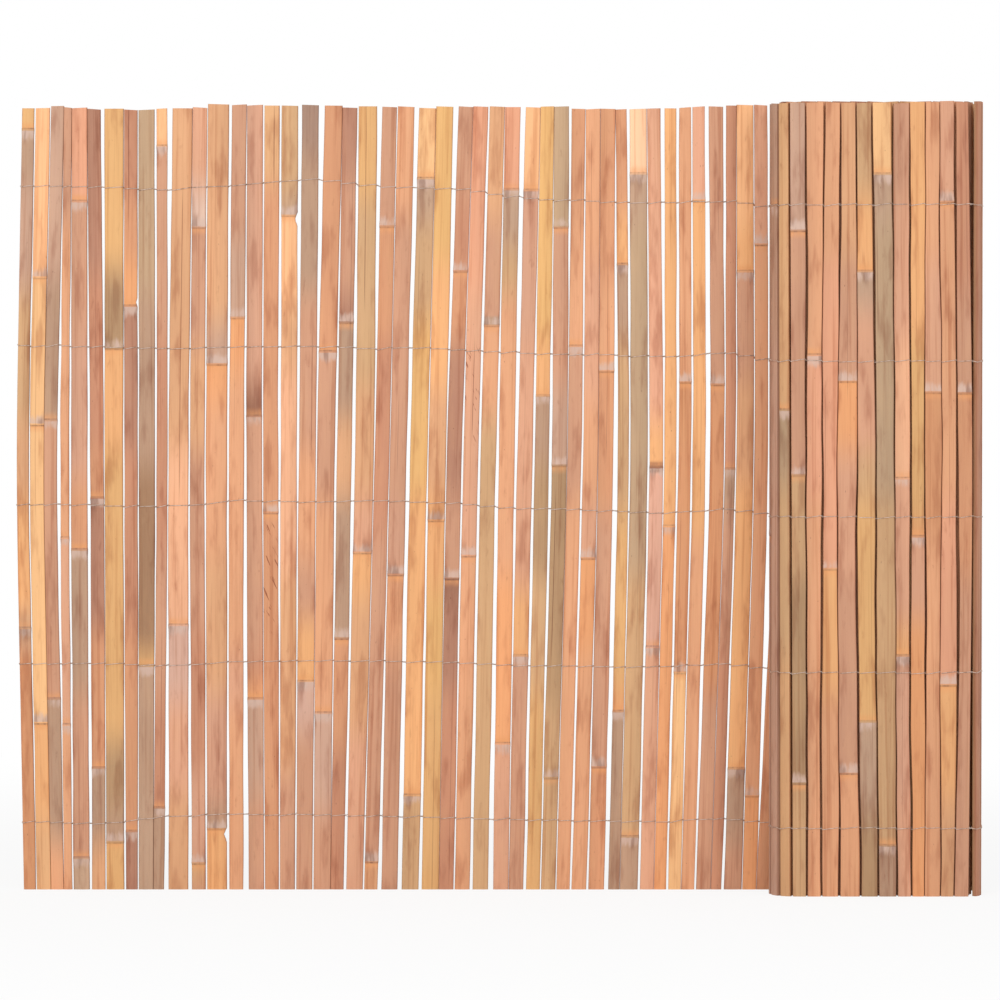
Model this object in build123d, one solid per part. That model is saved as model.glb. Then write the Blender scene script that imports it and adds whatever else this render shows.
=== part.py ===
from build123d import *
import os

# A screen of split bamboo slats, tied side by side with rows of thin wire.
# It stands on the feet of its slats. One end is still rolled up and stands in front of the flat run.
# X runs along the screen, Y from front to back, Z up. All sizes are in millimetres.

# Slats
SCREEN_HEIGHT = 1000.0
SLAT_THICKNESS = 6.0
CROWN_RISE = 1.2
CROWN_SHARE = 0.24
MIDDLE_SHARE = 0.547

# Knuckles, the joints of the cane: a steep lip on the root side and a long taper on the tip side
KNUCKLE_RISE = 0.35
KNUCKLE_SPREAD = 0.3
KNUCKLE_LIP = 3.0
KNUCKLE_TAPER = 9.0

# Tie wires: the rows are level in the roll and climb a little towards the free edge
WIRE_DIAMETER = 1.0
WIRE_CLEARANCE = 0.05
WIRE_ROWS = 5
LOWEST_WIRE = 86.0
HEAD_MARGIN_AT_ROLL = 130.0
HEAD_MARGIN_AT_EDGE = 104.0

# How far each row strays from its straight line in the flat run, lowest row first, at even steps
# from the free edge to the roll
WIRE_STRAY = (
    (-2, 8, 9, 10, 8, 6, 3, 1, 0, 4),
    (0, -2, 4, 6, 6, 4, 1, 0, 1, 6),
    (0, 0, 8, 8, 10, 9, 3, 2, 0, 6),
    (0, -1, 3, 6, 5, 6, 2, 2, 2, 8),
    (1, 0, 9, 18, 10, 10, 0, -1, -1, 4),
)

# Roll, measured on the middle of the slats' thickness
ROLL_TURNS = 3
ROLL_LEFT = 345.5
CORE_WIDTH = 216.5
CORE_DEPTH = 36.0
TURN_GAP = 3.2
ROLL_CORNER = 30.0
TIGHT_CORNER = 8.0
SIDE_SLANT = 4.0
ROLL_PITCH = 21.0
ROLL_GAP = 5.0
TAIL_MARGIN = 12.0

# Which way the cane grew in a slat: root at the foot, or laid head down
UP = 1
DOWN = -1

# The flat run, from the free edge to the roll. Each slat was split and laid by hand, so each has its own
# width, its centre along X at head, middle and foot, how far it stops short of the tallest,
# the way it grew and the heights of its knuckles.
FLAT_SLATS = (
    (14.0, -597.5, -606.5, -597.5, 5.5, DOWN, (967, 333)),
    (16.5, -578.5, -588.0, -579.0, 5.0, UP, (780, 593, 213)),
    (15.0, -559.5, -571.5, -562.0, 2.5, DOWN, (598, 243)),
    (9.0, -546.75, -552.5, -548.5, 4.0, DOWN, (448, 210)),
    (18.5, -532.0, -533.5, -531.5, 4.5, DOWN, (876, 433, 40)),
    (15.5, -514.0, -510.5, -509.0, 6.0, DOWN, (499, 155)),
    (22.0, -488.0, -489.5, -488.0, 6.0, UP, (690, 61)),
    (15.0, -467.0, -467.5, -467.0, 7.0, DOWN, (743, 74)),
    (18.5, -447.0, -447.0, -449.5, 7.0, DOWN, (285,)),
    (12.5, -427.5, -427.5, -433.0, 5.5, DOWN, (946, 104)),
    (24.0, -401.0, -407.5, -407.5, 5.5, DOWN, (337,)),
    (17.0, -379.0, -383.5, -381.5, 4.0, UP, (844, 34)),
    (25.5, -355.5, -359.0, -358.5, 0.0, UP, (670, 78)),
    (17.5, -329.0, -333.5, -334.5, 0.5, UP, (729,)),
    (19.0, -309.0, -311.0, -308.0, 1.0, DOWN, (603, 243)),
    (18.0, -287.5, -290.0, -288.5, 2.0, UP, (481,)),
    (19.5, -265.0, -266.5, -269.0, 2.0, UP, (859,)),
    (20.5, -238.5, -243.0, -247.5, 1.0, DOWN, (265,)),
    (21.5, -209.0, -220.0, -225.0, 2.0, DOWN, (685, 225)),
    (17.5, -188.5, -196.0, -204.75, 4.5, UP, (723, 321)),
    (22.5, -165.5, -170.0, -184.0, 3.0, UP, (430,)),
    (17.5, -138.0, -148.0, -162.5, 3.5, UP, (845, 36)),
    (20.0, -117.0, -127.5, -139.5, 3.0, UP, (402,)),
    (20.5, -89.5, -101.5, -112.5, 5.0, DOWN, (905, 120)),
    (20.5, -68.0, -78.0, -86.5, 3.0, UP, (471,)),
    (17.5, -41.0, -56.5, -66.5, 3.0, UP, (788, 397)),
    (17.5, -22.5, -35.5, -46.0, 3.0, UP, (426,)),
    (18.0, -1.0, -13.0, -23.0, 3.0, UP, (719,)),
    (18.5, 18.5, 10.5, 3.0, 4.0, DOWN, (891, 186)),
    (17.5, 44.5, 33.5, 22.5, 4.0, DOWN, (890, 298)),
    (16.5, 62.5, 55.5, 44.5, 3.0, DOWN, (629,)),
    (18.0, 80.5, 78.5, 63.5, 3.0, UP, (844, 541, 143)),
    (16.5, 102.0, 97.0, 82.5, 6.0, DOWN, (692,)),
    (17.5, 120.5, 118.0, 102.5, 6.0, UP, (423,)),
    (18.0, 139.5, 137.0, 125.0, 6.0, UP, (661, 157)),
    (13.0, 156.0, 160.0, 147.5, 6.5, DOWN, (796, 227)),
    (21.0, 177.5, 180.0, 166.0, 6.0, DOWN, (911, 67)),
    (16.0, 197.5, 202.0, 189.5, 5.5, DOWN, (538, 309)),
    (14.0, 219.0, 219.5, 206.0, 5.5, DOWN, (463,)),
    (14.5, 237.5, 238.0, 224.5, 4.0, UP, (647, 277)),
    (15.0, 254.5, 256.5, 241.5, 3.0, UP, (878,)),
    (17.0, 276.5, 279.5, 261.5, 3.0, UP, (644,)),
    (12.0, 296.0, 296.0, 277.5, 2.0, DOWN, (536,)),
    (20.5, 313.5, 315.0, 299.0, 1.0, DOWN, (787, 154)),
    (16.0, 333.5, 335.5, 320.0, 1.0, UP, (822, 120)),
    (16.5, 379.0, 364.0, 338.0, 2.0, UP, (640,)),
)

# The outside of the roll, along its front from right to left and round its left end. Each slat has its
# pitch along the roll, its width, the lean of its head and of its foot along the roll,
# how far it stops short, the way it grew and the heights of its knuckles.
FRONT_SLATS = (
    (20.0, 16.0, 7.0, 4.5, 1.0, UP, (634,)),
    (21.5, 17.5, 5.0, 2.0, 0.0, UP, (874, 267)),
    (19.5, 16.5, 3.5, 0.5, 1.0, UP, (635,)),
    (19.5, 17.0, 1.5, -1.0, 1.0, DOWN, (453,)),
    (19.0, 16.5, 5.5, -1.0, 2.5, DOWN, (526, 303)),
    (26.0, 23.5, 6.0, -2.5, 2.0, DOWN, (908, 64)),
    (21.5, 17.5, 3.5, -5.0, 2.5, DOWN, (786, 220)),
    (24.0, 20.0, 0.5, -3.0, 2.0, UP, (649, 156)),
    (21.5, 19.0, -2.0, -1.0, 1.5, UP, (413,)),
    (20.5, 19.0, -3.0, -2.0, 1.5, DOWN, (681,)),
    (17.5, 16.5, 2.5, -2.5, 2.0, UP, (838, 531, 143)),
    (17.0, 14.0, 2.0, -2.0, 2.5, DOWN, (612,)),
    (22.0, 19.0, 1.5, -1.5, 2.0, DOWN, (869,)),
    (24.0, 19.5, 0.5, 0.0, 2.0, UP, (455,)),
    (24.0, 19.5, 0.0, 0.0, 3.0, UP, (720,)),
    (23.5, 19.0, 0.0, 0.0, 2.0, DOWN, (340,)),
)

# Sizes that follow from the ones above
WIRE_SEAT = KNUCKLE_RISE + WIRE_CLEARANCE
WIRE_OFFSET = SLAT_THICKNESS / 2 + WIRE_SEAT + WIRE_DIAMETER / 2
TURN_PITCH = SLAT_THICKNESS + 2 * (WIRE_SEAT + WIRE_DIAMETER) + TURN_GAP
ROLL_DEPTH = CORE_DEPTH + (2 * ROLL_TURNS - 1) * TURN_PITCH
ROLL_RIGHT = ROLL_LEFT + CORE_WIDTH + 2 * (ROLL_TURNS - 1) * TURN_PITCH
EDGES_PER_TURN = 8
STRAIGHT = 1e-6


def lean_at(height, length, head, foot):
    """How far a slat's centre stands off its middle at a height."""
    middle = MIDDLE_SHARE * length
    if height > middle:
        return head * (height - middle) / (length - middle)
    return foot * (middle - height) / middle


def swell_at(height, knuckles):
    """How far into a knuckle a height lies: 1 on the ridge and 0 clear of it."""
    shares = [0.0]
    for low, ridge, high in knuckles:
        if low < height <= ridge:
            shares.append((height - low) / (ridge - low))
        elif ridge < height < high:
            shares.append((high - height) / (high - ridge))
    return max(shares)


def slat(place, crown_side, width, head, foot, short, grows, ridges):
    """One slat: a ruled loft through its flat-backed, crowned section, wider and higher at each knuckle."""
    length = SCREEN_HEIGHT - short
    below, above = (KNUCKLE_LIP, KNUCKLE_TAPER) if grows == UP else (KNUCKLE_TAPER, KNUCKLE_LIP)
    knuckles = [(z - below, z, z + above) for z in ridges if z - below > 0 and z + above < length]
    heights = {0.0, MIDDLE_SHARE * length, length}
    for knuckle in knuckles:
        heights.update(knuckle)
    sections = []
    for height in sorted(heights):
        swell = swell_at(height, knuckles)
        lean = lean_at(height, length, head, foot)
        side = width / 2 + KNUCKLE_SPREAD * swell
        crown = SLAT_THICKNESS / 2 + KNUCKLE_RISE * swell
        flat = side - CROWN_SHARE * width
        half_section = ((side, -SLAT_THICKNESS / 2), (side, crown - CROWN_RISE), (flat, crown))
        outline = half_section + tuple((-u, v) for u, v in reversed(half_section))
        points = [place.from_local_coords((lean + u, crown_side * v, height)) for u, v in outline]
        sections.append(Wire.make_polygon(points, close=True))
    return Solid.make_loft(sections, ruled=True)


def plain_slat(place, width):
    """A slat inside the roll, where neither its lean nor its knuckles can be seen."""
    return slat(place, 1, width, 0.0, 0.0, 0.0, UP, ())


def roll_path(start):
    """The line that the mat follows from behind the roll to its inner end, and its lengths turn by turn."""
    corners = [(start, 0.0)]
    radii = []
    for turn in range(ROLL_TURNS):
        inset = turn * TURN_PITCH
        round_corner = max(ROLL_CORNER - inset, TIGHT_CORNER)
        left = ROLL_LEFT + inset
        right = ROLL_RIGHT - inset
        front = -ROLL_DEPTH + inset
        corners += [(right, -inset), (right - SIDE_SLANT, front), (left, front), (left, -inset - TURN_PITCH)]
        radii += [round_corner, TIGHT_CORNER, round_corner, round_corner]
    tail_end = ROLL_RIGHT - ROLL_TURNS * TURN_PITCH - TAIL_MARGIN
    corners.append((tail_end, -ROLL_TURNS * TURN_PITCH))
    path = FilletPolyline(*corners, radius=radii)
    return path, [edge.length for edge in path.wire().order_edges()]


def even_pitches(length):
    """Pitches of the plain slats that fill a stretch of the roll."""
    count = max(1, round(length / ROLL_PITCH))
    return [length / count] * count


def slat_places(path, begin, pitches):
    """The foot of each slat along a stretch of the roll, X along the mat and Y out of the roll, and its room."""
    stops = [begin]
    for pitch in pitches:
        stops.append(stops[-1] + pitch)
    joints = [path.position_at(min(stop, path.length), PositionMode.LENGTH) for stop in stops]
    places = []
    for joint, next_joint in zip(joints, joints[1:]):
        along = next_joint - joint
        places.append((Plane((joint + next_joint) / 2, x_dir=along, z_dir=(0, 0, 1)), along.length))
    return places


def make_roll(start):
    """The rolled end: its slats turn by turn, and the place and room of every slat along the mat."""
    path, lengths = roll_path(start)
    half = EDGES_PER_TURN // 2
    turns = []
    all_places = []
    begin = 0.0
    for first_edge in range(0, len(lengths), EDGES_PER_TURN):
        back = sum(lengths[first_edge:first_edge + half])
        front = sum(lengths[first_edge + half:first_edge + EDGES_PER_TURN])
        places = slat_places(path, begin, even_pitches(back))
        if front and turns:
            places += slat_places(path, begin + back, even_pitches(front))
        slats = [plain_slat(place, room - ROLL_GAP) for place, room in places]
        if not turns:
            stretch = front / sum(entry[0] for entry in FRONT_SLATS)
            front_places = slat_places(path, begin + back, [entry[0] * stretch for entry in FRONT_SLATS])
            for (place, room), (pitch, width, *form) in zip(front_places, FRONT_SLATS):
                slats.append(slat(place, 1, room - (pitch - width) * stretch, *form))
            places += front_places
        turns.append(slats)
        all_places += places
        begin += back + front
    return turns, all_places


def strand(places, side):
    """Plan of one strand in the roll: along the face of each slat, turning in the gaps between them."""
    route = []
    for (place, _), (following, _) in zip(places, places[1:]):
        turn = place.x_dir.cross(following.x_dir).Z
        if abs(turn) < STRAIGHT:
            continue
        here = place.origin + place.y_dir * side * WIRE_OFFSET
        there = following.origin + following.y_dir * side * WIRE_OFFSET
        travel = (there - here).cross(following.x_dir).Z / turn
        route.append(here + place.x_dir * travel)
    last_place, last_room = places[-1]
    route.append(last_place.from_local_coords((last_room / 2, side * WIRE_OFFSET, 0)))
    return route


def wire_through(route):
    """A wire of square section with mitred bends along a list of points."""
    radius = WIRE_DIAMETER / 2
    rise = Vector(0, 0, radius)
    plan = [Vector(point.X, point.Y, 0) for point in route]
    headings = [(after - before).normalized() for before, after in zip(plan, plan[1:])]
    rings = []
    for point, arriving, leaving in zip(route, headings[:1] + headings, headings + headings[-1:]):
        bisector = (arriving + leaving).normalized()
        across = Vector(-bisector.Y, bisector.X, 0) * (radius / bisector.dot(leaving))
        rings.append([point + across + rise, point - across + rise, point - across - rise, point + across - rise])
    outlines = [rings[0], rings[-1]]
    for ring, next_ring in zip(rings, rings[1:]):
        for a, b, c, d in zip(ring, ring[1:] + ring[:1], next_ring[1:] + next_ring[:1], next_ring):
            outlines.append([a, b, c, d])
    return Solid(Shell([Face(Wire.make_polygon(outline, close=True)) for outline in outlines]))


def tie_wire(row, run_end, places):
    """One row's wire: out of the roll along the inside, round the first slat and back along the outside."""
    share = row / (WIRE_ROWS - 1)
    at_roll = LOWEST_WIRE + share * (SCREEN_HEIGHT - LOWEST_WIRE - HEAD_MARGIN_AT_ROLL)
    at_edge = LOWEST_WIRE + share * (SCREEN_HEIGHT - LOWEST_WIRE - HEAD_MARGIN_AT_EDGE)
    width, head, middle, foot, short = FLAT_SLATS[0][:5]
    centre = middle + lean_at(at_edge, SCREEN_HEIGHT - short, head - middle, foot - middle)
    edge = centre - width / 2 - WIRE_SEAT - WIRE_DIAMETER / 2
    along_run = [(edge, at_edge), (centre, at_edge)]
    steps = len(WIRE_STRAY[row]) + 1
    for step, stray in enumerate(WIRE_STRAY[row], 1):
        x = centre + (run_end - centre) * step / steps
        along_run.append((x, at_edge + (at_roll - at_edge) * step / steps + stray))
    along_run.append((run_end, at_roll))
    route = [Vector(p.X, p.Y, at_roll) for p in reversed(strand(places, -1))]
    route += [Vector(x, -WIRE_OFFSET, z) for x, z in reversed(along_run)]
    route += [Vector(x, WIRE_OFFSET, z) for x, z in along_run]
    route += [Vector(p.X, p.Y, at_roll) for p in strand(places, 1)]
    return wire_through(route)


def make_parts():
    """Every piece of the screen by name."""
    parts = {}
    for number, (width, head, middle, foot, short, grows, ridges) in enumerate(FLAT_SLATS, 1):
        place = Plane((middle, 0, 0))
        shape = slat(place, -1, width, head - middle, foot - middle, short, grows, ridges)
        parts[f"slat_{number:02d}"] = shape
    width, head, middle, foot = FLAT_SLATS[-1][:4]
    run_end = max(head, middle, foot) + (width + ROLL_GAP) / 2
    turns, places = make_roll(run_end)
    for number, slats in enumerate(turns, 1):
        parts[f"roll_turn_{number}"] = Compound(slats)
    for row in range(WIRE_ROWS):
        parts[f"tie_wire_{row + 1}"] = tie_wire(row, run_end, places)
    return parts


def main():
    os.makedirs("parts", exist_ok=True)
    parts = make_parts()
    outline = Compound(list(parts.values())).bounding_box()
    to_origin = Location((-outline.center().X, -outline.center().Y, 0))
    for name, shape in parts.items():
        placed = shape.moved(to_origin)
        placed.label = name
        export_step(placed, f"parts/{name}.step")


main()
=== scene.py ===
import math
import random

import bpy
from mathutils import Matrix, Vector, noise


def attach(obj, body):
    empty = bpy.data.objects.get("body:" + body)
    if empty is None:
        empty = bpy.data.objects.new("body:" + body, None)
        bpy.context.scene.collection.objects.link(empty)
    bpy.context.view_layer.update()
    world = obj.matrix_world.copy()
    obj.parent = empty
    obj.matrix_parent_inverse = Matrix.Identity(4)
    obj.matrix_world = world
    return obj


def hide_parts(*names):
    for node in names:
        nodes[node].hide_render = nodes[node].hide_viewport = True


# A screen of split bamboo slats tied with wire, partly rolled up.
# Lengths are in metres, unless a comment says millimetres.
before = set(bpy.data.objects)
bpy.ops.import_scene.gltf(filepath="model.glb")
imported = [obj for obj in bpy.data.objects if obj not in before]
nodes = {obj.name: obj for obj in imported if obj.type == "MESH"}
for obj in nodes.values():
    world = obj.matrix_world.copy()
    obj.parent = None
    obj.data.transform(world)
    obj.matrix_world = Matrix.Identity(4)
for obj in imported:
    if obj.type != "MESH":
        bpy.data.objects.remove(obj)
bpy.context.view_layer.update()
scene = bpy.context.scene
MM = 0.001

# Section of a slat: places across it as a share of its half width, and its arrises
BACK_PLACES = (-0.95, -0.5, 0.0, 0.5, 0.95)
CROWN_PLACES = (0.97, 0.88, 0.72, 0.48, 0.24, 0.0, -0.24, -0.48, -0.72, -0.88, -0.97)
HALF_THICKNESS = 3.0 * MM
CROWN_RISE = (0.7 * MM, 1.2 * MM)
CROWN_POWER = (2.2, 4.0)
BACK_HOLLOW = 0.5 * MM
LOW_ARRIS = 0.5 * MM
HIGH_ARRIS = 0.6 * MM
FACE_WANDER = 0.14 * MM
SHARP_ANGLE = 38

# Length of a slat: the rings of its mesh, its bend and its sawn ends
RING_STEP = 12 * MM
HIDDEN_RING_STEP = 40 * MM
FOOT_RING = 0.8 * MM
HEAD_RING = 1.4 * MM
BEND_REACH = 0.1
BEND_SHARES = (-1, -0.5, 0, 0.5, 1)
LEAST_BEND = 1 * MM
END_TILT = 1.2 * MM
MID_HEIGHT = 0.5

# Knuckles: their shape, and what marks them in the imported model
KNUCKLE_REACH = 20 * MM
KNUCKLE_STEP = 1.6 * MM
KNUCKLE_RISE = 0.35 * MM
KNUCKLE_LIP = 3.0 * MM
KNUCKLE_BULGE = 0.9
KNUCKLE_TAPER = 9.0 * MM
GROOVE_REACH = 1.8
GROOVE_RISE = -0.4
KNUCKLE_SIGN = 0.1 * MM
PLAIN_SLACK = 0.02 * MM

# Edges of the flat slats. The shares are of the room between two neighbours.
EDGE_WANDER = 0.7 * MM
FREE_EDGE_ROOM = 1.0 * MM
TIGHT_GAP = (1.0 * MM, 2.2 * MM)
WANDER_SHARE = 0.2
REACH_SHARE = 0.33
TIGHT_SHARE = 0.46
MOST_SHARE = 0.48

# Edges in the roll
ROLL_LINE_WANDER = 3.6 * MM
ROLL_RIPPLE = 0.35
ROLL_GAP = 1.5 * MM
ROLL_GAP_SPREAD = 3.8 * MM
ROLL_GAP_LEAST = 0.6 * MM
SAME_FACE = 0.98

# The roll: turns, and how far a slat's face points to the front or the left
ROLL_TURNS = 4
SEEDS_PER_TURN = 100
FRONT_FACE = -0.7
LEFT_FACE = -0.3

# Noise: a lane for each slat or line, and the waves in a metre and the depth for each use
SLAT_LANE = 7.31
ROLL_LANE = 5.17
NOISE = {
    "face": (14, 3.3),
    "tear": (300, 1.5),
    "tone": (6, 20.5),
    "left_edge": (11, 0.5),
    "right_edge": (11, 9.5),
    "roll_line": (2.6, 0.7),
    "roll_ripple": (12, 5.7),
    "roll_gap": (3.4, 30.3),
}

# Tie wires
WIRE_ROWS = 5
STRAND_RADIUS = 0.45 * MM
TWIST_RADIUS = 0.5 * MM
TWIST_GAP = 1.9 * MM
TWIST_SHARES = (0.28, 0.39, 0.5, 0.61, 0.72)
SAME_WAY = 0.9
STRAND_SLANT = 0.9 * MM
STRAND_WANDER = 2.2 * MM
STRAND_WAVES = 1.7
STRAND_LANE = 3.1
STRAND_DEPTH = 0.5
STRAND_SIDES = 6
EDGE_DIP = 0.7 * MM
EDGE_CLEAR = 0.3 * MM
TURN_BACK = 2.2

# Tones of the cane, as they look in plain light
TONES = {
    "peach": (226, 168, 130),
    "peach_orange": (240, 180, 130),
    "peach_rose": (222, 162, 130),
    "pale_peach": (240, 190, 150),
    "pale_honey": (234, 182, 128),
    "pale_grey": (214, 180, 160),
    "honey": (214, 164, 108),
    "honey_tan": (212, 162, 116),
    "honey_orange": (226, 166, 112),
    "honey_peach": (234, 176, 126),
    "honey_yellow": (220, 170, 108),
    "orange": (224, 156, 106),
    "orange_tan": (216, 156, 116),
    "orange_brown": (204, 144, 106),
    "brown_orange": (206, 144, 102),
    "red_brown": (190, 132, 102),
    "brown": (150, 102, 78),
    "umber": (154, 116, 86),
    "smoke": (158, 126, 108),
    "salmon": (220, 156, 122),
    "rose_tan": (212, 156, 124),
    "rose": (202, 150, 122),
    "tan": (212, 158, 116),
    "rose_brown": (196, 144, 114),
    "rose_grey": (190, 150, 126),
    "grey_rose": (196, 156, 134),
    "pink_rose": (214, 162, 138),
    "pink_grey": (204, 162, 142),
    "dark_rose": (172, 122, 98),
    "olive_grey": (182, 150, 118),
    "olive_tan": (198, 156, 114),
    "dark_olive": (172, 136, 100),
    "grey_olive": (182, 148, 122),
    "grey_tan": (190, 156, 128),
    "grey_brown": (176, 140, 114),
}
FLAT_GAIN = 1.13
ROLL_GAIN = 1.01
STRAW = (222, 186, 142)
STRAW_SHARE = 0.6
SAWN = (208, 166, 124)
KNUCKLE_BLOOM = (212, 182, 166)
KNUCKLE_STAIN = (164, 136, 124)
KNUCKLE_LINE = (132, 88, 66)
KNUCKLE_GLOW = (232, 160, 102)
STREAK_TINT = (150, 104, 80)
# Tint of the painted shade at a slat's edges
EDGE_SHADE_TINT = (176, 136, 112)
SCRATCH_TINT = (158, 100, 74)
WIRE_BRIGHT = (214, 194, 180)
WIRE_DULL = (164, 136, 118)

# How the tones change along a slat, and the painted shade across it and at its edges
TONE_STEP = 2 * MM
TONE_FADE = 35 * MM
KNUCKLE_NEAR = 12 * MM
TONE_SWING = 0.10
# Painted shade across a slat: how much darker one side may be than the other
SIDE_SHADE = 0.09
# Painted shade at a slat's edges: its share at the left edge, which faces the light, and on the back
LEFT_EDGE_SHADE = 0.94
BACK_EDGE_SHADE = 0.6

# The look of a knuckle: the pale bloom above it, the warm band below and the dark line under its lip
KNUCKLE_STRENGTH = (0.7, 1.0)
BLOOM_FADE = (3 * MM, 22 * MM)
GLOW_FADE = (3 * MM, 13 * MM)
LIP_DROP = 1.6 * MM
LIP_LINE = 1.7 * MM

# Streaks left to chance: strength, place across as a share, top and length in millimetres
STREAK_SHADE = (0.1, 0.6)
STREAK_PLACE = 0.7
STREAK_TOP = (200, 1000)
STREAK_LENGTH = (60, 300)

# Soft ends of streaks and scratches in millimetres, and the slant of scratches in degrees
STREAK_FADE = 20
SCRATCH_FADE = 6
SCRATCH_SLANT = 24

# Rings at a tear, in millimetres, and how ragged it is
TEAR_STEP = 1.5
TEAR_RINGS = 8
TEAR_DEPTH = 0.75
TEAR_SWING = 0.5

# The tones of each slat from head to foot, with the height in millimetres at which each one ends
FLAT_TONES = (
    "honey 967 grey_brown 900 rose_grey 760 olive_tan 600 tan 500 honey_orange 345 grey_tan 315 brown_orange",
    "peach_orange 780 pale_honey 213 honey_orange 90 honey_tan",
    "rose_grey 776 grey_brown 598 rose_brown 243 grey_brown 60 orange_tan",
    "rose_brown 850 orange_tan 448 rose_tan 210 orange_tan",
    "salmon 876 rose_brown 700 rose 520 orange_brown 433 grey_brown 250 rose_brown 40 grey_tan",
    "dark_rose 780 red_brown 560 orange_brown 499 dark_rose 330 orange_brown 155 grey_brown 60 tan",
    "honey 790 dark_olive 688 honey_orange 560 honey 190 dark_olive 100 grey_brown 61 honey",
    "red_brown 880 orange_brown 800 orange 743 dark_rose 560 red_brown 330 orange_brown 74 dark_rose",
    "olive_grey 760 grey_brown 540 umber 300 honey 285 grey_brown 120 grey_olive",
    "honey_peach 946 rose_brown 700 red_brown 430 rose_brown 250 red_brown 104 grey_brown",
    "tan 560 peach 337 pink_grey 240 rose_tan 120 tan",
    (
        "rose_tan 891 pale_grey 844 rose_brown 690 tan 560 rose_brown 330 red_brown 150 rose 34 "
        "honey 22 rose_brown"
    ),
    "tan 720 rose_grey 670 orange 620 orange_tan 420 tan 250 rose 105 grey_brown 78 honey_orange",
    "rose_brown 830 rose_grey 729 orange 660 orange_tan 300 rose_tan 230 orange_tan",
    "rose 640 brown 603 rose_brown 300 red_brown 262 orange 243 rose_grey 120 rose_brown",
    "honey_tan 900 orange_brown",
    "olive_tan 880 grey_olive 859 peach_orange 740 tan 660 peach 400 tan 150 rose_brown",
    (
        "smoke 940 grey_brown 760 rose_brown 560 orange_tan 420 rose_brown 344 honey_orange 265 "
        "pink_grey 200 rose_brown"
    ),
    "orange_brown 685 rose_brown 496 orange_tan 225 grey_rose 100 rose_brown",
    (
        "dark_rose 900 rose_brown 760 dark_rose 723 grey_brown 600 tan 500 grey_brown 321 "
        "orange_brown 180 red_brown"
    ),
    "honey 880 olive_tan 640 tan 500 rose_tan 430 honey_orange 370 tan 200 rose_tan",
    "rose_brown 845 orange_brown 700 red_brown 450 rose_brown 36 tan",
    "orange_tan 860 rose_brown 496 rose 402 orange_tan 300 rose_brown",
    "pale_honey 905 grey_olive 850 olive_tan 726 honey_yellow 500 honey_orange 120 olive_tan",
    "honey_yellow 800 honey_orange 640 tan 500 honey_orange 380 honey_yellow 250 honey",
    (
        "rose_brown 880 red_brown 788 orange_brown 700 dark_rose 500 rose_brown 397 brown 370 "
        "dark_rose 250 red_brown"
    ),
    "salmon 760 rose_tan 426 orange_tan",
    "tan 850 rose_brown 730 grey_brown 719 orange_tan 600 olive_tan",
    "salmon 891 grey_olive 820 olive_tan 760 orange_tan 400 orange 186 rose_tan",
    "honey_peach 890 rose 700 rose_tan 382 honey_orange 298 rose_brown",
    "honey_yellow 700 honey_orange 629 grey_brown 540 dark_olive 400 olive_tan 250 honey",
    "olive_grey 844 rose_brown 640 rose_grey 541 dark_olive 235 olive_tan",
    "orange_brown 860 orange_tan 692 rose_brown 496 orange_tan",
    "orange_tan 800 rose_tan 620 orange_tan 496 rose_tan 423 orange 300 orange_tan",
    "orange_brown 760 orange_tan 661 orange_brown 480 rose_brown 157 orange_brown",
    "orange_brown 860 honey_orange 796 grey_brown 700 olive_tan 480 honey 250 orange 227 grey_brown",
    "pale_peach 911 grey_olive 850 olive_grey 400 olive_tan 67 grey_brown",
    "rose_tan 800 peach_rose 598 honey_orange 545 brown 532 pink_rose 309 rose_tan",
    "honey_orange 463 orange",
    "orange_tan 647 brown_orange 277 pale_honey",
    "peach_rose 878 honey_orange 450 orange_tan",
    "rose_brown 644 brown_orange 250 rose_brown",
    "red_brown 536 grey_brown 480 rose_brown 300 red_brown",
    "honey_peach 850 honey_orange 787 rose_brown 650 tan 520 honey_orange 154 grey_brown 60 rose_brown",
    "rose_tan 822 orange_tan 120 orange",
    "orange_brown",
)

# The front of the roll, from right to left
FRONT_TONES = (
    "red_brown 760 rose_brown 634 orange_brown 400 rose_brown",
    "rose_tan 874 orange_tan 500 salmon 267 honey_orange 120 tan",
    "orange_tan 800 rose_tan 635 brown_orange 450 orange_tan",
    "honey_orange 700 honey 470 orange 453 rose_tan 350 orange",
    "rose_brown 880 rose_tan 700 peach 526 rose_tan 340 honey_orange 303 rose 120 rose_tan",
    "pale_honey 908 grey_olive 850 olive_grey 500 olive_tan 64 grey_brown",
    (
        "olive_tan 880 honey_orange 786 grey_olive 740 rose_tan 560 olive_tan 499 honey 220 "
        "grey_olive 100 dark_olive"
    ),
    "tan 800 rose_brown 649 orange 560 rose_tan 400 rose_brown 156 orange_tan",
    "orange_tan 800 salmon 413 honey_orange 250 orange_tan",
    "orange_tan 681 salmon 500 orange_tan",
    "rose_grey 838 rose_brown 531 olive_tan 400 dark_olive 143 olive_tan",
    "honey_tan 612 olive_grey 520 olive_tan 300 honey_tan",
    "rose_grey 869 grey_rose 500 rose_tan",
)
LEFT_BEND_TONES = "rose_grey 700 grey_rose"

# The rest of the roll takes one of these
PLAIN_TONES = (
    "rose_tan",
    "orange_tan",
    "rose_brown",
    "red_brown",
    "honey_tan",
    "orange_brown",
    "tan",
    "olive_tan",
)

# Torn places at an edge: flat slat, height, edge (1 right, -1 left), depth and reach in millimetres
TEARS = {
    17: (854, 1, 4.0, 9.0),
    13: (70, 1, 4.0, 10.0),
    8: (748, 1, 2.0, 6.0),
}

# Gaps that open towards the foot: the slat on the left of the gap and the extra width in millimetres
FOOT_GAPS = {
    6: 0.6,
    7: 1.6,
    8: 1.4,
    12: 1.4,
    13: 1.8,
    15: 1.2,
    16: 1.4,
    17: 1.6,
    18: 1.4,
    20: 3.4,
    21: 1.6,
    22: 1.6,
    31: 0.8,
    32: 0.8,
    33: 1.4,
}
FOOT_GAP_ENDS = (40 * MM, 320 * MM)

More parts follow.
